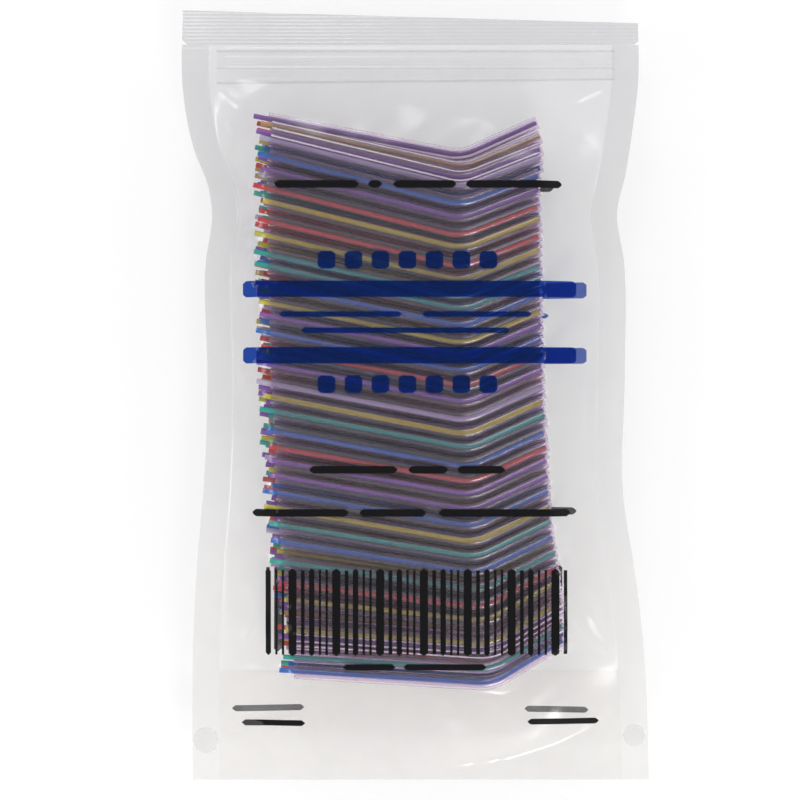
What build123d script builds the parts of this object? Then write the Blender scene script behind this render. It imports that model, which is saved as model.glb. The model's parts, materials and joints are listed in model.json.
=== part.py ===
from build123d import *

# Clear zip-top stand-up pouch, packed with bent syringe tips and lying on its back.
# +X is across the pouch, +Y points to its mouth and +Z is up. The origin is the middle of
# the pouch, on the table. All sizes are millimetres and all angles are degrees.

import math
import os
import random

os.makedirs("parts", exist_ok=True)

# Driving dimensions of a tip: a clear sleeve with a coloured core tube loose in its bore.
sleeve_od = 4.0
sleeve_bore = 3.0
core_od = 1.5
core_bore = 0.8
rear_leg = 59.0            # rear end of the sleeve to the corner of its bend
front_leg = 25.0           # corner of the bend to the front end
bend_angle = 35.0
bend_radius = 14.0         # of the centre line
core_stickouts = (2.0, 3.2, 4.4)  # how far cores stand out of the sleeve's rear end
core_setback = 0.5         # how far it stops short of the front end
core_offset = 0.55         # how far it lies off the middle of the bore

# Driving dimensions of the stack.
layer_count = 7
layer_pitch = 3.75
tube_gap = 0.12            # least air between two sleeves
stack_clearance = 0.1      # air between the stack and the film
loose_layers = (2, 3, 4)   # middle layers, whose highest tip lies loose under the mouth
headspace = 2.8            # room for a loose tip to move towards the zipper

# Driving dimensions of the pouch.
film = 0.25
pouch_end = 115.5          # half the length of the pouch
header_drop = 3.9          # how much lower the right end of the top edge is cut
tear_line = 105.0
tear_gap = 0.4
notch_depth = 1.6
seal_width = 8.0           # heat-sealed strip down each side
side_lean = 5.0            # how far the side walls lean in over the stack
mouth_hinge = 82.0         # where the faces start to slope to the zipper
mouth_foot = 94.5
base_hinge = -82.5         # height of the gusset's fold, and where the skirts bend
front_skirt_bend = -88.5   # the front face stays flat down to here
base_foot = -112.0         # inner edge of the bottom seal
edge_clearance = 0.4       # between the side seals and what moves between them
ply_lift = 1.5             # half the room between the lips for the zipper
leaf_lift = 0.05           # half the gap between the two leaves of the folded gusset
end_wall_ratio = 1.3       # thickness along Y of the sloping end walls, in films
seal_joint = 0.3           # how far a side seal runs in under its side wall
lip_overlap = 2.0          # how far the zipper's ply runs into the slope of the mouth
skirt_overlap = 1.5        # how far the bottom seal runs into the slope of the base

# Half width of the pouch along Y. The stack draws the sides in at the middle.
half_widths = [(-pouch_end, 68.6), (-70.0, 67.2), (-25.0, 62.5), (42.0, 62.3),
               (56.0, 61.2), (mouth_foot, 68.3), (pouch_end, 68.3)]

stack_height = (layer_count - 1) * layer_pitch + sleeve_od
half_depth = film + stack_clearance + stack_height / 2
seal_z = half_depth
first_layer_z = film + stack_clearance + sleeve_od / 2


def interpolate(table, y):
    """Value at y of a list of (y, value) points joined by straight lines."""
    if y <= table[0][0]:
        return table[0][1]
    for (y0, value0), (y1, value1) in zip(table, table[1:]):
        if y <= y1:
            return value0 + (value1 - value0) * (y - y0) / (y1 - y0)
    return table[-1][1]


# ---------------------------------------------------------------- pouch film

def ring(inset, low, high):
    """Outline of the pouch between two heights, moved in from its side edges."""
    inner = [y for y, _ in half_widths if low < y < high]
    right = [(interpolate(half_widths, y) - inset, y) for y in [low] + inner + [high]]
    left = [(-x, y) for x, y in reversed(right)]
    return right + left


def tray(side, skirt_bend, thickness):
    """Closed solid between the seal plane and one face of the filled pouch."""
    wall = thickness * math.hypot(side_lean, half_depth) / half_depth
    end_wall = thickness * end_wall_ratio
    with BuildPart() as solid:
        with BuildSketch(Plane.XY.offset(seal_z)):
            with BuildLine():
                Polyline(*ring(seal_width + wall, base_foot + end_wall, mouth_foot - end_wall),
                         close=True)
            make_face()
        with BuildSketch(Plane.XY.offset(seal_z + side * (half_depth - thickness))):
            with BuildLine():
                Polyline(*ring(seal_width + side_lean + wall, skirt_bend + end_wall,
                               mouth_hinge - end_wall), close=True)
            make_face()
        loft(ruled=True)
    return solid.part


def face_film(side, skirt_bend):
    """Film of one face: flat over the stack and sloping down to the seals all round."""
    with BuildPart() as shell:
        add(tray(side, skirt_bend, 0))
        add(tray(side, skirt_bend, film), mode=Mode.SUBTRACT)
    return shell.part


def side_seals(side):
    """The two long heat-sealed strips, one ply thick, joined to the middle of a face."""
    with BuildPart() as strips:
        with BuildSketch(Plane.XY.offset(seal_z)):
            with BuildLine():
                Polyline(*ring(0, -pouch_end, tear_line - tear_gap / 2), close=True)
            make_face()
            with BuildLine():
                Polyline(*ring(seal_width, -pouch_end - film, tear_line + film), close=True)
            make_face(mode=Mode.SUBTRACT)
            with BuildLine():
                Polyline(*ring(seal_width, base_hinge, mouth_hinge), close=True)
            make_face()
            with BuildLine():
                Polyline(*ring(seal_width + seal_joint, base_hinge - film, mouth_hinge + film),
                         close=True)
            make_face(mode=Mode.SUBTRACT)
        extrude(amount=side * film)
    return strips.part


def panel(side, film_shell):
    """Middle of one face with both side seals."""
    with BuildPart() as middle:
        add(film_shell)
        split(bisect_by=Plane.XZ.offset(-mouth_hinge), keep=Keep.TOP)
        split(bisect_by=Plane.XZ.offset(-base_hinge), keep=Keep.BOTTOM)
        add(side_seals(side))
    return middle.part


def ply(side, low, high, lift):
    """Flat strip of film between the side seals, lift above or below the seal plane."""
    with BuildPart() as strip:
        with BuildSketch(Plane.XY.offset(seal_z + side * lift)):
            with BuildLine():
                Polyline(*ring(seal_width + edge_clearance, low, high), close=True)
            make_face()
        extrude(amount=side * film)
    return strip.part


def lip(side, film_shell):
    """One side of the mouth: the slope over the end of the stack and the zipper's ply."""
    with BuildPart() as mouth:
        add(film_shell)
        split(bisect_by=Plane.XZ.offset(-mouth_hinge), keep=Keep.BOTTOM)
        split(bisect_by=Plane.XY.offset(seal_z + side * ply_lift),
              keep=Keep.TOP if side > 0 else Keep.BOTTOM)
        add(ply(side, mouth_foot - lip_overlap, tear_line - tear_gap / 2, ply_lift))
    return mouth.part


def skirt(side, film_shell):
    """One side of the base: the slope below the stack and the bottom seal."""
    with BuildPart() as base:
        add(film_shell)
        split(bisect_by=Plane.XZ.offset(-base_hinge), keep=Keep.TOP)
        split(bisect_by=Plane.XY.offset(seal_z + side * 2 * film),
              keep=Keep.TOP if side > 0 else Keep.BOTTOM)
        add(ply(side, -pouch_end, base_foot + skirt_overlap, leaf_lift + film))
    return base.part


front_film = face_film(1, front_skirt_bend)
back_film = face_film(-1, base_hinge)

pieces = {
    "front_panel": panel(1, front_film),
    "back_panel": panel(-1, back_film),
    "front_lip": lip(1, front_film),
    "back_lip": lip(-1, back_film),
    "front_skirt": skirt(1, front_film),
    "back_skirt": skirt(-1, back_film),
    "gusset_front_leaf": ply(1, -pouch_end, base_hinge, leaf_lift),
    "gusset_back_leaf": ply(-1, -pouch_end, base_hinge, leaf_lift),
}


def header(side):
    """One ply of the sealed strip above the tear line, with a notch at each end."""
    half = interpolate(half_widths, pouch_end)
    bottom = tear_line + tear_gap / 2
    with BuildPart() as strip:
        with BuildSketch(Plane.XY.offset(seal_z)):
            with BuildLine():
                Polyline((-half + notch_depth, bottom), (half - notch_depth, bottom),
                         (half, bottom + notch_depth), (half, pouch_end - header_drop),
                         (-half, pouch_end), (-half, bottom + notch_depth), close=True)
            make_face()
        extrude(amount=side * film)
    return strip.part


pieces["header_front"] = header(1)
pieces["header_back"] = header(-1)


# -------------------------------------------------------------------- zipper

zipper_low = 95.0
zipper_high = 104.0
zipper_mid = (zipper_low + zipper_high) / 2
zipper_base = 0.3          # thickness of the strips welded to the lips
zipper_half = 59.0
jaw_inner = 1.3
jaw_width = 0.5
jaw_reach = 0.1            # how far the jaws reach past the seal plane
rib_width = 0.6
rib_height = 0.7           # of the arrow's point above the seal plane
arrow_width = 1.1
arrow_height = 0.5

with BuildPart() as zipper_female:
    with BuildSketch(Plane.YZ):
        with Locations((zipper_mid, seal_z + ply_lift - zipper_base / 2)):
            Rectangle(zipper_high - zipper_low, zipper_base)
        jaw_height = ply_lift - zipper_base / 2 + jaw_reach
        for jaw_side in (-1, 1):
            jaw_y = zipper_mid + jaw_side * (jaw_inner + jaw_width / 2)
            with Locations((jaw_y, seal_z - jaw_reach + jaw_height / 2)):
                Rectangle(jaw_width, jaw_height)
    extrude(amount=zipper_half, both=True)
pieces["zipper_female"] = zipper_female.part

with BuildPart() as zipper_male:
    with BuildSketch(Plane.YZ):
        with Locations((zipper_mid, seal_z - ply_lift + zipper_base / 2)):
            Rectangle(zipper_high - zipper_low, zipper_base)
        rib_bottom = seal_z - ply_lift + zipper_base / 2
        rib_top = seal_z + rib_height - arrow_height / 2
        with Locations((zipper_mid, (rib_bottom + rib_top) / 2)):
            Rectangle(rib_width, rib_top - rib_bottom)
        with BuildLine():
            Polyline((zipper_mid - arrow_width / 2, seal_z + rib_height - arrow_height),
                     (zipper_mid + arrow_width / 2, seal_z + rib_height - arrow_height),
                     (zipper_mid, seal_z + rib_height), close=True)
        make_face()
    extrude(amount=zipper_half, both=True)
pieces["zipper_male"] = zipper_male.part


# ---------------------------------------------------------------------- tips

# A tip is made with the corner of its bend at the origin, its rear leg along -X and its
# front leg turned towards +Y.

def bent_tube(outer, bore, rear, front):
    """Tube bent once, with its rear and front ends at these distances from the corner."""
    tip_angle = math.radians(bend_angle)
    with BuildPart() as tube:
        with BuildLine() as route:
            FilletPolyline((-rear, 0), (0, 0),
                           (front * math.cos(tip_angle), front * math.sin(tip_angle)),
                           radius=bend_radius)
        with BuildSketch(Plane(origin=(-rear, 0, 0), x_dir=(0, 1, 0), z_dir=(1, 0, 0))):
            Circle(outer / 2)
            Circle(bore / 2, mode=Mode.SUBTRACT)
        sweep(path=route.line)
    return tube.part


sleeve = bent_tube(sleeve_od, sleeve_bore, rear_leg, front_leg)
cores_by_stickout = [
    bent_tube(core_od, core_bore, rear_leg + stickout, front_leg - core_setback)
    for stickout in core_stickouts]

# How the tips lie: the angle of the rear leg and the place of the rear end, along Y.
lie_angles = [(-88.0, -3.0), (-56.0, -9.5), (-10.0, -11.0), (50.0, -14.5), (60.0, -13.0),
              (68.0, -8.5), (76.0, -4.7)]
rear_ends = [(-88.0, -35.0), (-73.0, -37.0), (-50.0, -40.0), (-16.0, -42.0),
             (30.0, -43.0), (56.0, -43.0), (69.0, -45.5), (84.0, -44.5)]
angle_scatter = 0.4
end_scatter = 0.9
settle_tries = 16          # places tried for each tip; it takes the lowest
sample_step = 2.0          # along X, where the heights of two tips are compared


def tip_height(tip, x):
    """Height of a tip's centre line at x, and its slope there."""
    corner_x, corner_y, angle = tip
    rear_angle = math.radians(angle)
    front_angle = math.radians(angle + bend_angle)
    middle = (rear_angle + front_angle) / 2
    reach = bend_radius / math.cos(math.radians(bend_angle) / 2)
    centre_x = corner_x - reach * math.sin(middle)
    centre_y = corner_y + reach * math.cos(middle)
    if x < centre_x + bend_radius * math.sin(rear_angle):
        return corner_y + (x - corner_x) * math.tan(rear_angle), math.tan(rear_angle)
    if x > centre_x + bend_radius * math.sin(front_angle):
        return corner_y + (x - corner_x) * math.tan(front_angle), math.tan(front_angle)
    rise = math.sqrt(bend_radius ** 2 - (x - centre_x) ** 2)
    return centre_y - rise, (x - centre_x) / rise


def blocked(tip, other, distance):
    """Lowest and highest place of the tip's corner that another tip keeps it out of."""
    overlap_low = max(tip[0], other[0]) - rear_leg - sleeve_od
    overlap_high = min(tip[0], other[0]) + front_leg + sleeve_od
    lows, highs = [], []
    for step in range(int((overlap_high - overlap_low) / sample_step) + 1):
        x = overlap_low + sample_step * step
        height, slope = tip_height((tip[0], 0.0, tip[2]), x)
        other_height, other_slope = tip_height(other, x)
        room = distance * math.sqrt(1 + max(slope ** 2, other_slope ** 2))
        lows.append(other_height - height - room)
        highs.append(other_height - height + room)
    return min(lows), max(highs)


def settle(y_guess, rows, layer_below, chance):
    """Lowest place found for the next tip of a layer, on the last row and in the grooves."""
    side_distance = sleeve_od + tube_gap
    groove_distance = math.sqrt(side_distance ** 2 - layer_pitch ** 2)
    found = []
    for _ in range(settle_tries):
        angle = interpolate(lie_angles, y_guess) + chance.uniform(-angle_scatter, angle_scatter)
        rear_x = interpolate(rear_ends, y_guess) + chance.uniform(-end_scatter, end_scatter)
        corner_x = rear_x + rear_leg * math.cos(math.radians(angle))
        tip = (corner_x, 0.0, angle)
        y = blocked(tip, rows[-1], side_distance)[1] if rows else y_guess
        for other in layer_below:
            low, high = blocked(tip, other, groove_distance)
            if low < y < high:
                y = high
        found.append((y, corner_x, angle))
    y, corner_x, angle = min(found)
    return corner_x, y, angle


def lay_layer(low_limit, high_limit, layer_below, chance):
    """Rows of one layer, from the base of the pouch to its mouth."""
    rows = []
    y_guess = low_limit + sleeve_od / 2
    while True:
        tip = settle(y_guess, rows, layer_below, chance)
        corner_x, y, angle = tip
        front_rise = front_leg * math.sin(math.radians(angle + bend_angle))
        rear_rise = (rear_leg + max(core_stickouts)) * math.sin(math.radians(-angle))
        if y + max(front_rise, rear_rise) + sleeve_od / 2 > high_limit:
            return rows
        rows.append(tip)
        y_guess = y


def layer_limits(layer_index):
    """Lowest and highest Y that the film, the mouth and the gusset leave to a layer."""
    height = abs(first_layer_z + layer_index * layer_pitch - seal_z)
    mouth_slope = (mouth_foot - mouth_hinge) / half_depth
    high = mouth_foot - mouth_slope * (height + sleeve_od / 2) - 2 * film
    if layer_index in loose_layers:
        high -= headspace
    if height < sleeve_od / 2:
        return base_hinge + 2 * film, high
    if layer_index == 0:
        return base_hinge, high
    return front_skirt_bend + 2 * film, high


chance = random.Random(7)
layers = []
for layer_index in range(layer_count):
    low_limit, high_limit = layer_limits(layer_index)
    layers.append(lay_layer(low_limit, high_limit, layers[-1] if layers else [], chance))

tip_count = sum(len(rows) for rows in layers)
print("tips in each layer:", [len(rows) for rows in layers], "all:", tip_count)


def tip_location(tip, z):
    """Place of a tip whose corner is at these coordinates, at height z."""
    corner_x, corner_y, angle = tip
    return Location((corner_x, corner_y, z), (0, 0, angle))


# Core colours of the front two layers, from the lowest row to the highest.
front_colours = ["blue", "teal", "yellow", "yellow", "red", "teal", "blue", "teal", "yellow",
                 "blue", "violet", "violet", "red", "blue", "teal", "yellow", "clear",
                 "violet", "red", "blue", "violet", "yellow", "blue", "teal", "teal",
                 "yellow", "red", "yellow", "red", "violet", "blue", "clear", "teal"]
second_colours = ["blue", "violet", "amber", "red", "teal", "yellow", "clear", "yellow",
                  "violet", "blue", "yellow", "red", "violet", "teal", "violet", "violet",
                  "red", "clear", "red", "blue", "clear", "yellow", "red", "blue", "yellow",
                  "red", "red", "teal", "clear", "violet", "blue", "violet", "violet"]
picked_colours = {layer_count - 1: front_colours, layer_count - 2: second_colours}
# Share of each colour in the layers under them.
colour_shares = {"violet": 22, "teal": 17, "blue": 14, "red": 15, "yellow": 12,
                 "amber": 8, "clear": 12}

core_places = {colour: [] for colour in colour_shares}
sleeve_places = []
loose_places = []
for layer_index, rows in enumerate(layers):
    layer_z = first_layer_z + layer_index * layer_pitch
    colours = picked_colours.get(layer_index)
    if colours is None:
        colours = chance.choices(list(colour_shares), colour_shares.values(), k=len(rows))
    places = []
    for tip, colour in zip(rows, colours):
        place = tip_location(tip, layer_z)
        lean = math.radians(chance.uniform(0, 360))
        core_place = place * Location((0, core_offset * math.cos(lean),
                                       core_offset * math.sin(lean)))
        core = chance.choice(cores_by_stickout)
        if tip is rows[-1] and layer_index in loose_layers:
            loose_places.append((place, core, core_place))
        else:
            places.append(place)
            core_places[colour].append((core, core_place))
    sleeve_places.append(places)

for layer_index, places in enumerate(sleeve_places):
    with BuildPart() as layer:
        with Locations(*places):
            add(sleeve)
    pieces[f"sleeves_layer_{layer_index + 1}"] = layer.part

for colour, places in core_places.items():
    with BuildPart() as cores:
        for core, core_place in places:
            with Locations(core_place):
                add(core)
    pieces[f"cores_{colour}"] = cores.part

for loose_index, (place, core, core_place) in enumerate(loose_places):
    with BuildPart() as loose_sleeve:
        with Locations(place):
            add(sleeve)
    pieces[f"loose_sleeve_{loose_index + 1}"] = loose_sleeve.part
    with BuildPart() as loose_core:
        with Locations(core_place):
            add(core)
    pieces[f"loose_core_{loose_index + 1}"] = loose_core.part

for name, piece in pieces.items():
    piece.label = name
    export_step(piece, f"parts/{name}.step")
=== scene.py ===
# Looks of a clear zip-top pouch of syringe tips that lies on its back. +X is across the
# pouch, +Y points to its zipper and +Z is up. Lengths are metres, written in millimetres.

import json
import math

import bpy
import numpy as np
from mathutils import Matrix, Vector
from mathutils.bvhtree import BVHTree


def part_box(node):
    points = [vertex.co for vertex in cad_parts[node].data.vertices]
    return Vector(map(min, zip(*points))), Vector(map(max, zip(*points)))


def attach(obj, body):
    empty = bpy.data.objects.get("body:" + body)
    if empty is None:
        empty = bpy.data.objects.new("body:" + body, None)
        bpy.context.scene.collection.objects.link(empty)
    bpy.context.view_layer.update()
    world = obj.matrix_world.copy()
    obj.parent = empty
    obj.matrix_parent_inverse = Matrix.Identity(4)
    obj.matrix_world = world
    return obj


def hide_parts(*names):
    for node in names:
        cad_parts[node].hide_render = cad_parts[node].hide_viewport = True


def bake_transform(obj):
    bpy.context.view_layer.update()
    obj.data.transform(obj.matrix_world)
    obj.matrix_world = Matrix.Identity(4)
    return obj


mm = 0.001

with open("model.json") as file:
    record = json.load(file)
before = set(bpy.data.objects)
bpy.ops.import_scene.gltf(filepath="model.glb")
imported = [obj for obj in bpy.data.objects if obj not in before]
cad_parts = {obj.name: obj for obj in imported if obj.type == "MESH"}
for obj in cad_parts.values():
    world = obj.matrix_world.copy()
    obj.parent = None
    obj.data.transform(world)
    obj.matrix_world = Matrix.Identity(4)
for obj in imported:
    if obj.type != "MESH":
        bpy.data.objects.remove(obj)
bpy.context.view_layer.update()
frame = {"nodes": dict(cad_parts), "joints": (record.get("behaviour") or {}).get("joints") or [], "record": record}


# ------------------------------------------------------------ sizes from the frame

def joint_place(name):
    """Point that a hinge turns about at rest."""
    for joint in frame["joints"]:
        if joint["name"] == name:
            return Vector(joint["pos_m"])


top_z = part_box("front_panel")[1].z
seal_z = top_z / 2
pouch_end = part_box("front_skirt")[0].y
mouth_hinge = joint_place("mouth_front_open").y
base_hinge = joint_place("base_front_open").y
tear_line = (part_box("front_lip")[1].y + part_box("header_front")[0].y) / 2
tear_gap = 0.04 * mm        # between the lips and the header
tear_low = tear_line - tear_gap / 2
header_low = tear_line + tear_gap / 2
header_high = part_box("header_front")[1].y
zipper_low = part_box("zipper_female")[0].y
zipper_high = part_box("zipper_female")[1].y
zipper_mid = (zipper_low + zipper_high) / 2
lip_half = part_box("front_lip")[1].x

seal_width = 8.0 * mm
ply_gap = 0.12 * mm         # from the seal plane to each ply where the film is sealed
zipper_lift = 1.6 * mm      # from the seal plane to the film over the zipper
ramp_width = 7.0 * mm       # over which the zipper flattens into a side seal
film_clearance = 0.12 * mm  # between the stack and the film
film_margin = 0.05 * mm     # that the film keeps inside the pouch's own thickness
floor_margin = 0.02 * mm    # that the back film keeps above the floor
print_lift = 0.06 * mm      # of the printed ink above the film
header_drop = 3.9 * mm      # how much lower the right end of the top edge is cut
notch_depth = 1.6 * mm      # of the tear notches at the header's lower corners


# ------------------------------------------------------------------- outline

# The pouch's left and right edges along Y. The stack draws them in at the middle.
left_edge = [(-116, -66.8), (-80, -66.8), (-50, -65.4), (-25, -63.3), (5, -62.4),
             (40, -62.8), (55, -61.0), (62, -62.0), (74, -66.5), (90, -69.6), (116, -69.8)]
right_edge = [(-116, 70.2), (-80, 68.8), (-55, 66.2), (-30, 62.4), (5, 62.8),
              (40, 62.6), (55, 60.6), (66, 63.0), (80, 65.2), (92, 66.7), (116, 66.8)]


def edge_at(points, y):
    """X of an edge at each y, smooth through its points."""
    ys = np.array([p[0] for p in points]) * mm
    xs = np.array([p[1] for p in points]) * mm
    slopes = np.gradient(xs, ys)
    k = np.clip(np.searchsorted(ys, y) - 1, 0, len(ys) - 2)
    width = ys[k + 1] - ys[k]
    t = (y - ys[k]) / width
    return ((2 * t**3 - 3 * t**2 + 1) * xs[k] + (t**3 - 2 * t**2 + t) * width * slopes[k]
            + (3 * t**2 - 2 * t**3) * xs[k + 1] + (t**3 - t**2) * width * slopes[k + 1])


# ---------------------------------------------------------------- film grid

def spaced(low, high, step):
    """Evenly spaced values from low to high, about step apart."""
    return np.linspace(low, high, max(2, round((high - low) / step) + 1))


def joined(*runs):
    """Runs of values that share their ends, as one."""
    return np.concatenate([runs[0]] + [run[1:] for run in runs[1:]])


# Rows run along Y and columns across: a side seal, the inside, and the other side seal.
rows = joined(spaced(pouch_end, base_hinge, 1.0 * mm),
              spaced(base_hinge, mouth_hinge, 1.0 * mm),
              spaced(mouth_hinge, zipper_low - 1.0 * mm, 0.8 * mm),
              spaced(zipper_low - 1.0 * mm, tear_low, 0.4 * mm))
seal_columns = 8
inner_columns = 112
column_count = 2 * seal_columns + inner_columns + 1
middle_column = column_count // 2


def grid_x(row_values):
    """X of every grid point, with columns on both seals' inner edges."""
    left = edge_at(left_edge, row_values)[:, None]
    right = edge_at(right_edge, row_values)[:, None]
    seal = np.linspace(0, seal_width, seal_columns + 1)
    inside = np.linspace(0, 1, inner_columns + 1)[1:-1]
    inner = left + seal_width + inside * (right - left - 2 * seal_width)
    return np.hstack([left + seal, inner, right - seal[::-1]])


grid_columns = grid_x(rows)
grid_rows = np.repeat(rows[:, None], column_count, axis=1)
seal_distance = np.minimum(grid_columns - grid_columns[:, seal_columns][:, None],
                           grid_columns[:, -seal_columns - 1][:, None] - grid_columns)
is_side_seal = seal_distance < 0.01 * mm


def smooth_step(value):
    """Value clipped to 0 to 1, with a smooth start and end."""
    t = np.clip(value, 0, 1)
    return t * t * (3 - 2 * t)


# The bottom seal is an arc that rises to both side seals.
arc_low = pouch_end + 4.5 * mm
arc_rise = 21.0 * mm
arc_half = 62.0 * mm
arc_middle = 5.0 * mm
arc_power = 2.2


def arc_height(x):
    """Y of the bottom seal's upper edge."""
    return arc_low + arc_rise * np.abs((x - arc_middle) / arc_half) ** arc_power


def stack_surface(side):
    """Height of the stack above the seal plane, seen from the front (1) or the back (-1)."""
    depsgraph = bpy.context.evaluated_depsgraph_get()
    names = [n for n in frame["nodes"] if "sleeve" in n or "core" in n]
    trees = [BVHTree.FromObject(frame["nodes"][n], depsgraph) for n in names]
    surface = np.full(grid_columns.shape, -1.0)
    for row, column in np.argwhere(~is_side_seal):
        x, y = grid_columns[row, column], grid_rows[row, column]
        start = Vector((x, y, seal_z + side * seal_z * 2))
        for tree in trees:
            hit = tree.ray_cast(start, Vector((0, 0, -side)), seal_z * 2)[0]
            if hit is not None:
                surface[row, column] = max(surface[row, column], side * (hit.z - seal_z))
    spread = surface.copy()
    for row_step, column_step in ((1, 0), (-1, 0), (0, 1), (0, -1)):
        spread = np.maximum(spread, np.roll(surface, (row_step, column_step), (0, 1)))
    return spread


relaxation_steps = 600
zipper_margin = 0.5 * mm    # that the flattened film reaches below the zipper
base_seal_plies = 2.5       # ply gaps that the film stands off where the gusset is sealed in


def drape(side):
    """Height of one face's film above the seal plane, stretched over the stack."""
    surface = stack_surface(side) + film_clearance
    over_zipper = grid_rows > zipper_low - zipper_margin
    in_bottom_seal = grid_rows < arc_height(grid_columns)
    pinned = is_side_seal | over_zipper | in_bottom_seal
    zipper_height = ply_gap + (zipper_lift - ply_gap) * smooth_step(seal_distance / ramp_width)
    pinned_height = np.where(over_zipper, zipper_height, ply_gap)
    pinned_height = np.where(in_bottom_seal, base_seal_plies * ply_gap, pinned_height)
    limit = seal_z - film_margin
    height = np.where(pinned, pinned_height, limit)
    for _ in range(relaxation_steps):
        average = height.copy()
        average[1:-1, 1:-1] = (height[:-2, 1:-1] + height[2:, 1:-1]
                               + height[1:-1, :-2] + height[1:-1, 2:]) / 4
        height = np.where(pinned, pinned_height, np.maximum(surface, average))
        height = np.minimum(height, limit)
    return height


header_hang = 98 * mm       # beyond here the header droops
base_hang = -92 * mm        # below here the base droops
header_curl = 4.0           # droop in metres for each square metre beyond
base_curl = 2.5


def droop(y):
    """How far the free ends of the pouch hang below the seal plane."""
    header = np.clip(y - header_hang, 0, None) ** 2 * header_curl
    base = np.clip(base_hang - y, 0, None) ** 2 * base_curl
    return header + base


def wave(x, y):
    """Gentle waves of the seal plane, strongest at the pouch's edges."""
    edge = smooth_step((np.abs(x) - 40 * mm) / (28 * mm))
    return mm * edge * (0.5 * np.sin(y / (13 * mm) + x / (60 * mm))
                        + 0.3 * np.sin(y / (5.7 * mm) + 1.0))


# Creases of the front film, each as (height, half width) and points along it, all in mm.
front_creases = [
    (0.5, 1.4, [(-60, 93), (-54, 88), (-46, 84)]), (0.5, 1.6, [(-57, 90), (-57, 80), (-56, 70)]),
    (1.1, 1.3, [(60, 94), (51, 90), (42, 85)]), (0.7, 1.5, [(58, 92), (56, 82), (55, 70)]),
    (0.5, 1.4, [(58, 84), (54, 78), (48, 73.5)]), (0.6, 1.6, [(-58, 80), (-54, 66), (-52, 50)]),
    (0.7, 2.0, [(57, 70), (53, 52), (52, 30)]), (0.5, 1.5, [(52, 20), (49, 0), (50, -22)]),
    (1.5, 1.3, [(43.5, -62), (46.5, -69), (52.5, -76), (64, -82)]),
    (1.5, 1.3, [(-43.5, -62), (-46, -70), (-52, -77.5), (-60, -81.5)]),
    (0.8, 1.4, [(50, -60), (55, -70), (62, -77)]),
    (0.7, 1.4, [(-56, -70), (-52, -60), (-51, -44)]),
    (0.7, 1.3, [(-57, -81.5), (-46, -82.5), (-33, -84.3), (-20, -83.5)]),
    (0.7, 1.5, [(4, -88), (26, -89), (44, -84)]),
    (0.35, 1.0, [(37.5, -7), (31, -20), (32, -30), (35, -38), (34, -52)]),
    (0.3, 0.9, [(-36, 2), (-35, -17)]), (0.16, 0.9, [(-28, 86), (-18, 84), (-8, 85)]),
    (0.5, 1.5, [(-55, -30), (-53, -10), (-54, 14)]), (0.6, 1.8, [(54, -40), (57, -56), (62, -66)]),
]


def crease_height(creases):
    """Height that creases add to the film."""
    total = np.zeros(grid_columns.shape)
    for height, half_width, path in creases:
        nearest = np.full(total.shape, 1.0)
        fade = np.zeros(total.shape)
        corners = np.array(path) * mm
        for index, (start, end) in enumerate(zip(corners, corners[1:])):
            run = end - start
            share = ((grid_columns - start[0]) * run[0]
                     + (grid_rows - start[1]) * run[1]) / (run @ run)
            share = np.clip(share, 0, 1)
            away = np.hypot(grid_columns - start[0] - share * run[0],
                            grid_rows - start[1] - share * run[1])
            along = (index + share) / (len(corners) - 1)
            closer = away < nearest
            nearest = np.where(closer, away, nearest)
            fade = np.where(closer, np.sin(math.pi * np.clip(along, 0.04, 0.96)), fade)
        total += height * mm * fade * np.exp(-(nearest / (half_width * mm)) ** 2)
    inside = smooth_step(seal_distance / (4 * mm)) * smooth_step((zipper_low - grid_rows)
                                                                 / (3 * mm))
    return total * inside


ridge_lines = (97.8, 100.8, 103.5)      # Y in mm
ridge_height = 0.3 * mm
ridge_half_width = 0.5 * mm


def zipper_ridges():
    """Ridges that the zipper presses into the film, also where the side seals crush it."""
    total = np.zeros(grid_columns.shape)
    for ridge_y in ridge_lines:
        total += ridge_height * np.exp(-((grid_rows - ridge_y * mm) / ridge_half_width) ** 2)
    return total


# Waves that add up to the film's dents: direction in radians, length in mm, and phase.
dent_waves = ((0.4, 17, 0.3), (1.3, 12, 1.9), (2.3, 9, 4.0), (2.9, 22, 2.2))
dent_height = 0.55 * mm
dent_length = 60            # length in mm of a wave with the full height


def crumple(height):
    """Soft dents of the film where it hangs free."""
    free = smooth_step((seal_z - height) / (4 * mm)) * smooth_step((height - 1.5 * mm) / (3 * mm))
    dents = np.zeros(height.shape)
    for turn, length, phase in dent_waves:
        along = grid_columns * math.cos(turn) + grid_rows * math.sin(turn)
        dents += np.sin(along * 2 * math.pi / (length * mm) + phase) * length / dent_length
    return dent_height * free * dents


front_height = drape(1)
front_height += crumple(front_height) + crease_height(front_creases) + zipper_ridges()
back_height = drape(-1)
base_plane = seal_z - droop(grid_rows) + wave(grid_columns, grid_rows)
front_points = np.dstack([grid_columns, grid_rows, base_plane + front_height])
back_points = np.dstack([grid_columns, grid_rows,
                         np.maximum(base_plane - back_height, floor_margin)])


# -------------------------------------------------------------------- meshes

def grid_normals(points, side):
    """Normal at each grid point."""
    across = np.gradient(points, axis=1)
    along = np.gradient(points, axis=0)
    normals = np.cross(across, along) * side
    return normals / np.linalg.norm(normals, axis=2)[:, :, None]


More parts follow.
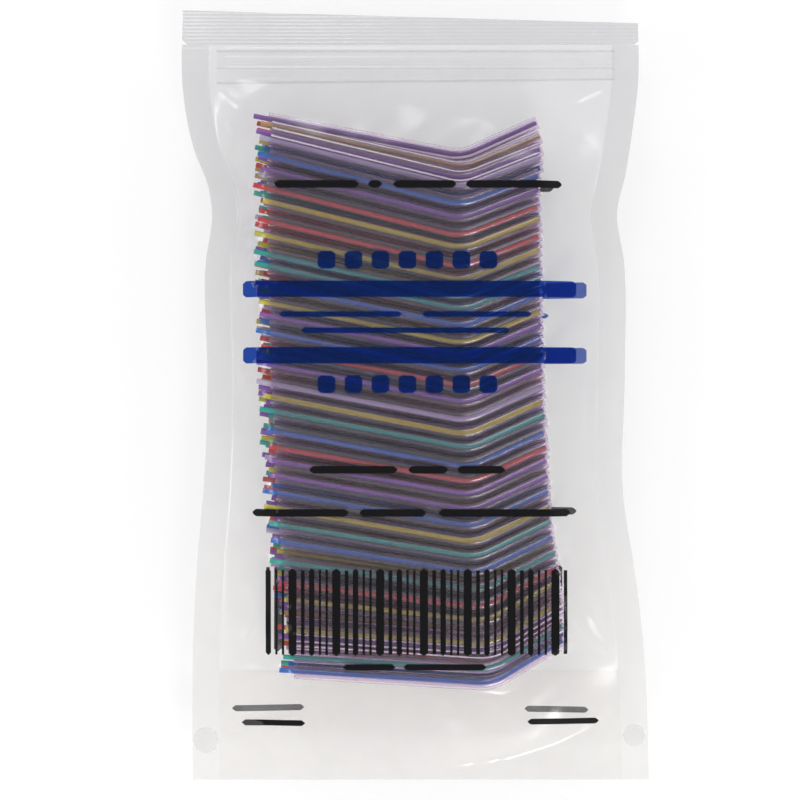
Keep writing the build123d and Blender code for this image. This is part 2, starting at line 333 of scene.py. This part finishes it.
def grid_mesh(name, points, row_range, column_range, material, normals=None):
    """Mesh object of a block of a grid of points."""
    low_row, high_row = row_range
    low_column, high_column = column_range
    block = points[low_row:high_row + 1, low_column:high_column + 1]
    height, width = block.shape[:2]
    faces = []
    for row in range(height - 1):
        for column in range(width - 1):
            corner = row * width + column
            faces.append((corner, corner + 1, corner + width + 1, corner + width))
    if normals is not None and normals[:, :, 2].mean() < 0:
        faces = [face[::-1] for face in faces]
    mesh = bpy.data.meshes.new(name)
    mesh.from_pydata(block.reshape(-1, 3).tolist(), [], faces)
    mesh.polygons.foreach_set("use_smooth", [True] * len(faces))
    mesh.materials.append(material)
    if normals is not None:
        part = normals[low_row:high_row + 1, low_column:high_column + 1]
        mesh.normals_split_custom_set_from_vertices(part.reshape(-1, 3).tolist())
    piece = bpy.data.objects.new(name, mesh)
    bpy.context.scene.collection.objects.link(piece)
    return piece


def join_pieces(name, parts):
    """Several mesh objects as one."""
    bpy.ops.object.select_all(action="DESELECT")
    for part in parts:
        part.select_set(True)
    bpy.context.view_layer.objects.active = parts[0]
    bpy.ops.object.join()
    parts[0].name = name
    return parts[0]


# ----------------------------------------------------------------- materials

def new_material(name):
    """Material with its node tree emptied down to the output."""
    material = bpy.data.materials.new(name)
    material.use_nodes = True
    nodes = material.node_tree.nodes
    nodes.clear()
    return material, nodes, material.node_tree.links, nodes.new("ShaderNodeOutputMaterial")


def noise(nodes, links, scale, detail=3.0):
    """Noise over the object's own coordinates, with scale in features per metre."""
    place = nodes.new("ShaderNodeTexCoord")
    texture = nodes.new("ShaderNodeTexNoise")
    texture.inputs["Scale"].default_value = scale
    texture.inputs["Detail"].default_value = detail
    links.new(place.outputs["Object"], texture.inputs["Vector"])
    return texture.outputs["Fac"]


def map_range(nodes, links, value, low, high, to_low, to_high):
    """Value stretched from one range to another."""
    node = nodes.new("ShaderNodeMapRange")
    for name, number in (("From Min", low), ("From Max", high),
                         ("To Min", to_low), ("To Max", to_high)):
        node.inputs[name].default_value = number
    links.new(value, node.inputs["Value"])
    return node.outputs["Result"]


def seal_lines(nodes, links, place, strength, normal, haze):
    """Fine lines of a heat seal, added to a film's normal and haze."""
    lines = nodes.new("ShaderNodeTexWave")
    lines.bands_direction = "Y"
    lines.inputs["Scale"].default_value = 290.0
    lines.inputs["Distortion"].default_value = 0.4
    links.new(place, lines.inputs["Vector"])
    fine = nodes.new("ShaderNodeBump")
    fine.inputs["Strength"].default_value = strength
    fine.inputs["Distance"].default_value = 0.2 * mm
    links.new(lines.outputs["Fac"], fine.inputs["Height"])
    links.new(normal, fine.inputs["Normal"])
    lined = nodes.new("ShaderNodeMath")
    lined.operation = "MULTIPLY_ADD"
    lined.inputs[1].default_value = 0.035
    links.new(lines.outputs["Fac"], lined.inputs[0])
    links.new(haze, lined.inputs[2])
    return fine.outputs["Normal"], lined.outputs["Value"]


def film_tint_and_painted_shade(nodes, links, place, painted_top_shade):
    """Colour of the light that a film lets through, greyer towards the zipper: painted shade that darkens the
    pouch's upper part.
    """
    split = nodes.new("ShaderNodeSeparateXYZ")
    links.new(place, split.inputs["Vector"])
    height = map_range(nodes, links, split.outputs["Y"], -0.06, 0.1, 0.0, 1.0)
    tint = nodes.new("ShaderNodeMix")
    tint.data_type = "RGBA"
    tint.inputs["A"].default_value = (0.995, 0.99, 0.985, 1)
    tint.inputs["B"].default_value = (painted_top_shade, painted_top_shade, min(1.0, painted_top_shade + 0.008), 1)
    links.new(height, tint.inputs["Factor"])
    return tint.outputs["Result"]


def film_fresnel(nodes, links, index):
    """Share of light that a film reflects, the same from both of its sides."""
    fresnel = nodes.new("ShaderNodeFresnel")
    facing = nodes.new("ShaderNodeNewGeometry")
    side_index = map_range(nodes, links, facing.outputs["Backfacing"], 0, 1, index, 1 / index)
    links.new(side_index, fresnel.inputs["IOR"])
    return fresnel


def film_material(name, haze_low, haze_high, ridges=0.0, shine=1.5, painted_top_shade=0.93):
    """Clear, slightly milky film, greyer towards the zipper as painted shade. ridges is the strength of a heat
    seal's fine lines.
    """
    material, nodes, links, output = new_material(name)
    place = nodes.new("ShaderNodeTexCoord").outputs["Object"]
    bump = nodes.new("ShaderNodeBump")
    bump.inputs["Strength"].default_value = 0.3
    bump.inputs["Distance"].default_value = 0.5 * mm
    links.new(noise(nodes, links, 110, 4.0), bump.inputs["Height"])
    normal = bump.outputs["Normal"]
    haze = map_range(nodes, links, noise(nodes, links, 45), 0.3, 0.7, haze_low, haze_high)
    if ridges:
        normal, haze = seal_lines(nodes, links, place, ridges, normal, haze)
    clear = nodes.new("ShaderNodeBsdfTransparent")
    links.new(film_tint_and_painted_shade(nodes, links, place, painted_top_shade), clear.inputs["Color"])
    milk = nodes.new("ShaderNodeBsdfDiffuse")
    milk.inputs["Color"].default_value = (0.8, 0.8, 0.81, 1)
    gloss = nodes.new("ShaderNodeBsdfGlossy")
    gloss.inputs["Color"].default_value = (1, 1, 1, 1)
    gloss.inputs["Roughness"].default_value = 0.2
    fresnel = film_fresnel(nodes, links, shine)
    for shader in (milk, gloss, fresnel):
        links.new(normal, shader.inputs["Normal"])
    hazed = nodes.new("ShaderNodeMixShader")
    links.new(haze, hazed.inputs["Fac"])
    links.new(clear.outputs["BSDF"], hazed.inputs[1])
    links.new(milk.outputs["BSDF"], hazed.inputs[2])
    shiny = nodes.new("ShaderNodeMixShader")
    links.new(fresnel.outputs["Fac"], shiny.inputs["Fac"])
    links.new(hazed.outputs["Shader"], shiny.inputs[1])
    links.new(gloss.outputs["BSDF"], shiny.inputs[2])
    links.new(shiny.outputs["Shader"], output.inputs["Surface"])
    return material


def plastic_material(name, color, transmission, roughness, wear=0.05, wear_shade=0.96):
    """Moulded clear or translucent plastic, with faint flow marks."""
    material, nodes, links, output = new_material(name)
    shader = nodes.new("ShaderNodeBsdfPrincipled")
    shader.inputs["Transmission Weight"].default_value = transmission
    shader.inputs["IOR"].default_value = 1.49
    shade = nodes.new("ShaderNodeMix")
    shade.data_type = "RGBA"
    shade.inputs["A"].default_value = (*color, 1)
    shade.inputs["B"].default_value = (*[wear_shade * c for c in color], 1)
    links.new(noise(nodes, links, 90, 2.0), shade.inputs["Factor"])
    links.new(shade.outputs["Result"], shader.inputs["Base Color"])
    rough = map_range(nodes, links, noise(nodes, links, 400), 0.3, 0.7,
                      roughness, roughness + wear)
    links.new(rough, shader.inputs["Roughness"])
    links.new(shader.outputs["BSDF"], output.inputs["Surface"])
    return material


def ink_material(name, color, cover):
    """Printed ink. cover is how far it hides what is under it."""
    material, nodes, links, output = new_material(name)
    tint = nodes.new("ShaderNodeBsdfTransparent")
    tint.inputs["Color"].default_value = (*color, 1)
    solid = nodes.new("ShaderNodeBsdfPrincipled")
    solid.inputs["Base Color"].default_value = (*[0.6 * c for c in color], 1)
    solid.inputs["Roughness"].default_value = 0.5
    solid.inputs["Specular IOR Level"].default_value = 0.15
    mix = nodes.new("ShaderNodeMixShader")
    speckle = map_range(nodes, links, noise(nodes, links, 900, 4.0), 0.35, 0.65,
                        cover, min(1.0, cover + 0.06))
    links.new(speckle, mix.inputs["Fac"])
    links.new(tint.outputs["BSDF"], mix.inputs[1])
    links.new(solid.outputs["BSDF"], mix.inputs[2])
    links.new(mix.outputs["Shader"], output.inputs["Surface"])
    return material


# Where a last number is given, it is how grey a film's painted shade gets at the zipper end.
film_clear = film_material("film_clear", 0.008, 0.03)
film_back = film_material("film_back", 0.08, 0.14)
film_leaf = film_material("film_leaf", 0.05, 0.09, shine=1.15, painted_top_shade=0.995)
# The rails' film is zipper plastic with extra haze and shine of its own, plus a darker grey tint that is painted
# shade for the dark lines along the zipper's jaws and strip edges.
zipper_rail_painted_shade = film_material("zipper_rail_painted_shade", 0.04, 0.08, shine=1.2, painted_top_shade=0.92)
film_weld = film_material("weld_spot", 0.3, 0.4)
film_seal = film_material("film_seal", 0.1, 0.16, painted_top_shade=0.885)
film_ridged = film_material("film_ridged", 0.1, 0.16, ridges=0.5, painted_top_shade=0.875)
zipper_plastic = film_material("zipper_plastic", 0.01, 0.03, shine=1.12, painted_top_shade=0.999)
black_ink = ink_material("black_ink", (0.008, 0.008, 0.01), 0.96)
blue_ink = ink_material("blue_ink", (0.03, 0.11, 0.55), 0.2)

core_colors = {
    "violet": (0.38, 0.12, 0.66),
    "teal": (0.0, 0.55, 0.46),
    "blue": (0.01, 0.2, 0.78),
    "red": (0.9, 0.03, 0.05),
    "yellow": (0.85, 0.74, 0.04),
    "amber": (0.8, 0.5, 0.18),
    "clear": (0.72, 0.62, 0.9),
}
slot_materials = {
    "sleeve": plastic_material("sleeve_plastic", (0.95, 0.86, 0.985), 0.975, 0.1)}
for color_name, color in core_colors.items():
    slot_materials["core_" + color_name] = plastic_material(
        "core_plastic_" + color_name, color, 0.2, 0.22, wear_shade=0.85)
for subpart in frame["record"]["subparts"]:
    material = slot_materials.get(subpart["material_slot"])
    if material:
        for slot in frame["nodes"][subpart["node"]].material_slots:
            slot.material = material


# --------------------------------------------------------------- film pieces

mouth_row = int(np.argmin(np.abs(rows - mouth_hinge)))
base_row = int(np.argmin(np.abs(rows - base_hinge)))
last_row = len(rows) - 1
last_column = column_count - 1
inner_left = seal_columns
inner_right = last_column - seal_columns


def film_piece(piece, slot_name, *nodes):
    """Hides the CAD parts that a film piece stands in for."""
    if nodes:
        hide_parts(*nodes)
    return piece


def bow(piece):
    """Bakes the placement of a half of the mouth or base into its mesh."""
    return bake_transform(piece)


def add_face(face, points, side, material):
    """The film of the front or back: panel with its side seals, lip and skirt halves."""
    normals = grid_normals(points, side)
    panel = grid_mesh(f"{face}_film", points, (base_row, mouth_row), (inner_left, inner_right),
                      material, normals)
    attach(film_piece(panel, "film", f"{face}_panel"), "pack")
    strips = [grid_mesh("strip", points, (0, last_row), columns, film_seal, normals)
              for columns in ((0, inner_left), (inner_right, last_column))]
    seals = join_pieces(f"{face}_side_seals", strips)
    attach(film_piece(seals, "film"), "pack")
    for name, first, last, body in (("lip", mouth_row, last_row, f"mouth_{face}"),
                                    ("skirt", 0, base_row, f"base_{face}")):
        for half, columns, half_side in (("left", (inner_left, middle_column), -1),
                                         ("right", (middle_column, inner_right), 1)):
            piece = grid_mesh(f"{face}_{name}_{half}", points, (first, last), columns,
                              material, normals)
            film_piece(piece, "film", f"{face}_{name}")
            bow(piece)


add_face("front", front_points, 1, film_clear)
add_face("back", back_points, -1, film_back)


def add_header(face, side):
    """One ply of the sealed strip above the tear line."""
    header_rows = spaced(header_low, header_high, 0.4 * mm)
    columns = grid_x(header_rows)
    notch = np.clip(notch_depth - (header_rows - header_low), 0, None)[:, None]
    fade = np.linspace(1, 0, seal_columns + 1)
    columns[:, :seal_columns + 1] += notch * fade
    columns[:, -seal_columns - 1:] -= notch * fade[::-1]
    share = ((header_rows - header_low) / (header_high - header_low))[:, None]
    across = (columns - columns[:, :1]) / (columns[:, -1:] - columns[:, :1])
    y = header_rows[:, None] - header_drop * share * across
    z = seal_z - droop(y) + wave(columns, y) + side * ply_gap
    points = np.dstack([columns, y, z])
    piece = grid_mesh(f"header_film_{face}", points, (0, len(header_rows) - 1),
                      (0, last_column), film_ridged, grid_normals(points, side))
    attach(film_piece(piece, "film", f"header_{face}"), "header")


add_header("front", 1)
add_header("back", -1)


def add_gusset(face, side):
    """One leaf of the gusset, from its fold inside the base down to the bottom seal."""
    leaf_rows = np.arange(0, base_row + 1)
    y = grid_rows[leaf_rows]
    x = grid_columns[leaf_rows]
    share = np.clip((y - pouch_end) / (base_hinge - pouch_end), 0, 1)
    lift = 1.2 * ply_gap + 0.25 * mm * np.sin(math.pi * share)
    z = seal_z - droop(y) + wave(x, y) + side * lift
    points = np.dstack([x, y, z])
    normals = grid_normals(points, side)
    for half, columns, half_side in (("left", (inner_left, middle_column), -1),
                                     ("right", (middle_column, inner_right), 1)):
        piece = grid_mesh(f"gusset_{face}_{half}", points, (0, base_row), columns,
                          film_leaf, normals)
        film_piece(piece, "film", f"gusset_{face}_leaf")
        bow(piece)


add_gusset("front", 1)
add_gusset("back", -1)


# -------------------------------------------------------------------- zipper

half_columns = 60           # of each half of a zipper strip
end_height = 0.07           # share of its height that a strip keeps at its crushed ends
end_gap = 0.3 * mm


def add_zipper(name, node, side, profile):
    """Zipper strip of one lip: its profile, (along Y, above the seal plane), drawn across."""
    x = np.linspace(-1, 1, 2 * half_columns + 1) * (lip_half - end_gap)
    ramp = smooth_step((lip_half - np.abs(x)) / ramp_width) * (1 - end_height) + end_height
    loop = np.array(profile + profile[:1]) * mm
    points = np.zeros((len(loop), len(x), 3))
    points[:, :, 0] = x
    slant = np.where(loop[:, :1] < (1 - strip) * mm, flange_slant * x / lip_half, 0)
    points[:, :, 1] = zipper_mid + loop[:, :1] + slant
    points[:, :, 2] = (seal_z + side * loop[:, 1:] * ramp
                       + wave(x, zipper_mid) - droop(zipper_mid))
    for half, span, half_side in (("left", (0, half_columns), -1),
                                  ("right", (half_columns, 2 * half_columns), 1)):
        piece = grid_mesh(f"{name}_{half}", points, (0, len(loop) - 1), span, zipper_plastic)
        piece.data.materials.append(zipper_rail_painted_shade)
        for polygon in piece.data.polygons:
            polygon.use_smooth = False
            row = polygon.index // half_columns
            nearest, furthest = sorted(np.abs(loop[row:row + 2, 0]) / mm)
            is_edge = nearest > upper - bevel - 0.1 and loop[row, 0] * loop[row + 1, 0] > 0
            is_jaw = nearest > rib_half and furthest < jaw_half and loop[row, 0] < 0
            # Jaw and edge faces get the darker rail film: painted shade for the zipper's lines.
            polygon.material_index = int(is_jaw or is_edge)
        film_piece(piece, "zipper", node)
        bow(piece)


# The strips reach from strip below the zipper's middle to upper above it, in mm.
strip = (zipper_high - zipper_low) / 2 / mm + 1.2
upper = (zipper_high - zipper_low) / 2 / mm - 0.6
bevel = 0.6
rib_half = 1.2              # a profile's points further out than this belong to a jaw,
jaw_half = 2.0              # up to here
flange_slant = 0.6 * mm     # how far the lower edge rises from its middle to its right end
female_profile = [(-strip, 1.5), (upper, 1.5), (upper - bevel, 1.2), (1.8, 1.2), (1.75, -0.05),
                  (1.25, -0.15), (1.35, 1.1), (-1.35, 1.1), (-1.25, -0.15), (-1.75, -0.05),
                  (-1.8, 1.2), (bevel - strip, 1.2)]
male_profile = [(-strip, 1.5), (upper, 1.5), (upper - bevel, 1.2), (0.35, 1.15), (0.3, -0.25),
                (0.55, -0.25), (0.0, -0.7), (-0.55, -0.25), (-0.3, -0.25), (-0.35, 1.15),
                (bevel - strip, 1.2)]
add_zipper("zipper_jaws", "zipper_female", 1, female_profile)
add_zipper("zipper_rib", "zipper_male", -1, male_profile)


# --------------------------------------------------------------------- print

def film_height_at(points, x, y):
    """Height of a face's film at each x, y, read from its grid."""
    row = np.clip(np.interp(y, rows, np.arange(len(rows))), 0, len(rows) - 1.001)
    low_row = row.astype(int)
    heights = []
    for index in (low_row, low_row + 1):
        heights.append(np.array([np.interp(a, points[i, :, 0], points[i, :, 2])
                                 for a, i in zip(x.ravel(), index.ravel())]))
    share = (row - low_row).ravel()
    return (heights[0] * (1 - share) + heights[1] * share).reshape(x.shape)


def ink_bar(points, side, x_low, x_high, y_low, y_high, roundness=0.8 * mm):
    """Grid of points for a bar with rounded corners, laid on the film."""
    step = 1.0 * mm
    x = spaced(x_low, x_high, step)
    half = (y_high - y_low) / 2
    radius = min(half, (x_high - x_low) / 2, roundness)
    inset = np.clip(radius - np.minimum(x - x_low, x_high - x), 0, radius)
    reach = half - radius + np.sqrt(radius**2 - inset**2)
    across = spaced(-1, 1, 2 * step / (y_high - y_low))[:, None]
    y = (y_low + y_high) / 2 + across * reach
    x = np.repeat(x[None, :], len(across), axis=0)
    z = film_height_at(points, x, y) + side * print_lift
    return np.dstack([x, y, z])


def print_piece(name, points, side, bars, material):
    """Printed bars of one colour as one piece. Each is (x low, x high, y low, y high) in mm."""
    parts = []
    for bar in bars:
        sheet = ink_bar(points, side, *[value * mm for value in bar])
        parts.append(grid_mesh("bar", sheet, (0, sheet.shape[0] - 1), (0, sheet.shape[1] - 1),
                               material))
    return join_pieces(name, parts)


def words(y_mid, thick, *spans):
    """Bars that stand for a line of words."""
    return [(low, high, y_mid - thick / 2, y_mid + thick / 2) for low, high in spans]


def mirrored(bars):
    """Bars with left and right swapped, for the back."""
    return [(-high, -low, bottom, top) for low, high, bottom, top in bars]


black_bars = (words(62.6, 2.2, (-41.8, -17.0), (-14.0, -10.0), (-6.5, 12.0), (15.0, 43.5))
              + words(-22.2, 2.2, (-31.4, -5.5), (-2.0, 9.5), (12.5, 26.5))
              + words(-35.0, 2.2, (-48.5, -20.0), (-16.5, 3.0), (7.0, 46.0))
              + words(-80.8, 1.8, (-21.5, -6.0), (-3.5, 21.0)))
# Upright stripes, in groups that repeat until stripes_end.
stripe_widths = (1.6, 0.7, 0.7, 2.4, 1.1)
stripe_gap = 1.3
stripe_low = -77.5
stripe_high = -51.5
stripes_end = 41.0
stripe_x = -44.6
while stripe_x < stripes_end:
    for stripe_width in stripe_widths:
        black_bars.append((stripe_x, stripe_x + stripe_width, stripe_low, stripe_high))
        stripe_x += stripe_width + stripe_gap
blue_bars = (words(31.5, 4.8, (-51.5, 48.0)) + words(11.8, 4.8, (-51.5, 48.0))
             + words(24.0, 1.6, (-40.5, -4.0), (2.0, 34.5))
             + words(19.2, 1.6, (-34.0, 28.0)))
# Two rows of rounded squares, above and below the blue bars.
block_count = 7
block_size = 5.2
block_pitch = 8.0
first_block_x = -29.0
block_rows = (37.5, 0.6)
for block in range(block_count):
    block_x = first_block_x + block_pitch * block
    for block_y in block_rows:
        blue_bars.append((block_x, block_x + block_size, block_y, block_y + block_size))
back_shift = 3.6            # how much higher the back's corner marks are, in mm
corner_bars = {-1: words(-98.2, 1.8, (-52.0, -33.0)), 1: words(-97.6, 1.8, (33.5, 55.0))}

for face, points, side in (("front", front_points, 1), ("back", back_points, -1)):
    for color_name, bars, ink in (("black", black_bars, black_ink),
                                  ("blue", blue_bars, blue_ink)):
        printed = print_piece(f"{face}_print_{color_name}", points, side,
                              bars if side > 0 else mirrored(bars), ink)
        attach(printed, "pack")
    for corner_side, bars in corner_bars.items():
        half_side = corner_side * side
        half_name = "right" if half_side > 0 else "left"
        if side < 0:
            bars = [(low, high, bottom + back_shift, top + back_shift)
                    for low, high, bottom, top in mirrored(bars)]
        printed = print_piece(f"{face}_print_corner_{half_name}", points, side, bars, black_ink)
        bow(printed)

# Round spots where the side seals are welded through, as (x, y, radius) in mm.
weld_spots = [(-62.8, -103.5, 3.9), (65.6, -102.0, 3.4)]
spots = []
for spot_x, spot_y, radius in weld_spots:
    sheet = ink_bar(front_points, 1, (spot_x - radius) * mm, (spot_x + radius) * mm,
                    (spot_y - radius) * mm, (spot_y + radius) * mm, radius * mm)
    spots.append(grid_mesh("spot", sheet, (0, sheet.shape[0] - 1), (0, sheet.shape[1] - 1),
                           film_weld))
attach(film_piece(join_pieces("weld_spots", spots), "film"), "pack")


# ------------------------------------------------------------ camera and stage

def aim(thing, target):
    """Turns an object so that it looks at a point, with the pouch's mouth upwards."""
    direction = Vector(target) - thing.location
    thing.rotation_euler = direction.to_track_quat("-Z", "Y").to_euler()


view_center = Vector((-4.6 * mm, -1.5 * mm, seal_z))
view_width = 240.0 * mm
view_distance = 1.2
camera_data = bpy.data.cameras.new("camera")
camera_data.sensor_width = 36.0
camera_data.lens = camera_data.sensor_width * view_distance / view_width
camera = bpy.data.objects.new("camera", camera_data)
camera.location = view_center + Vector((0, 0, view_distance))
bpy.context.scene.collection.objects.link(camera)
bpy.context.scene.camera = camera


def pale_floor_material():
    """Pale matt floor that glows a little, so that the film's shade on it stays light."""
    material, nodes, links, output = new_material("pale_floor")
    shader = nodes.new("ShaderNodeBsdfPrincipled")
    shader.inputs["Base Color"].default_value = (0.6, 0.6, 0.6, 1)
    shader.inputs["Roughness"].default_value = 0.9
    shader.inputs["Specular IOR Level"].default_value = 0.0
    shader.inputs["Emission Color"].default_value = (1, 1, 1, 1)
    shader.inputs["Emission Strength"].default_value = 0.48
    links.new(shader.outputs["BSDF"], output.inputs["Surface"])
    return material


def add_floor(half, depth):
    """Square floor just under the pouch."""
    mesh = bpy.data.meshes.new("floor")
    corners = [(x * half, y * half, -depth) for x, y in ((-1, -1), (1, -1), (1, 1), (-1, 1))]
    mesh.from_pydata(corners, [], [(0, 1, 2, 3)])
    mesh.materials.append(pale_floor_material())
    floor = bpy.data.objects.new("floor", mesh)
    bpy.context.scene.collection.objects.link(floor)


add_floor(1.5, 0.1 * mm)


def soft_light(name, place, size, power):
    """Square area light that shines at the pouch."""
    data = bpy.data.lights.new(name, "AREA")
    data.size = size
    data.energy = power
    light = bpy.data.objects.new(name, data)
    light.location = place
    aim(light, (0, 0, seal_z))
    bpy.context.scene.collection.objects.link(light)


soft_light("mouth_light", (-0.25, 0.8, 0.8), 0.45, 2.2)
soft_light("base_light", (0.25, -0.8, 0.7), 0.25, 2.9)
soft_light("left_light", (-0.95, 0.1, 0.55), 0.25, 1.3)
soft_light("right_light", (0.9, -0.3, 0.5), 0.25, 1.0)


def add_studio():
    """Soft white light from all round, brighter near the horizon than overhead."""
    world = bpy.data.worlds.new("studio")
    world.use_nodes = True
    nodes = world.node_tree.nodes
    links = world.node_tree.links
    direction = nodes.new("ShaderNodeTexCoord")
    split = nodes.new("ShaderNodeSeparateXYZ")
    links.new(direction.outputs["Generated"], split.inputs["Vector"])
    glow = map_range(nodes, links, split.outputs["Z"], 0.75, 0.97, 0.62, 0.34)
    links.new(glow, nodes["Background"].inputs["Strength"])
    nodes["Background"].inputs["Color"].default_value = (1, 1, 1, 1)
    bpy.context.scene.world = world


add_studio()

# Light has to pass through many layers of clear film and tube.
bpy.context.scene.view_settings.view_transform = "Standard"
bpy.context.scene.cycles.max_bounces = 32
bpy.context.scene.cycles.transmission_bounces = 32
bpy.context.scene.cycles.transparent_max_bounces = 32
bpy.context.scene.cycles.glossy_bounces = 8
bpy.context.scene.cycles.diffuse_bounces = 4
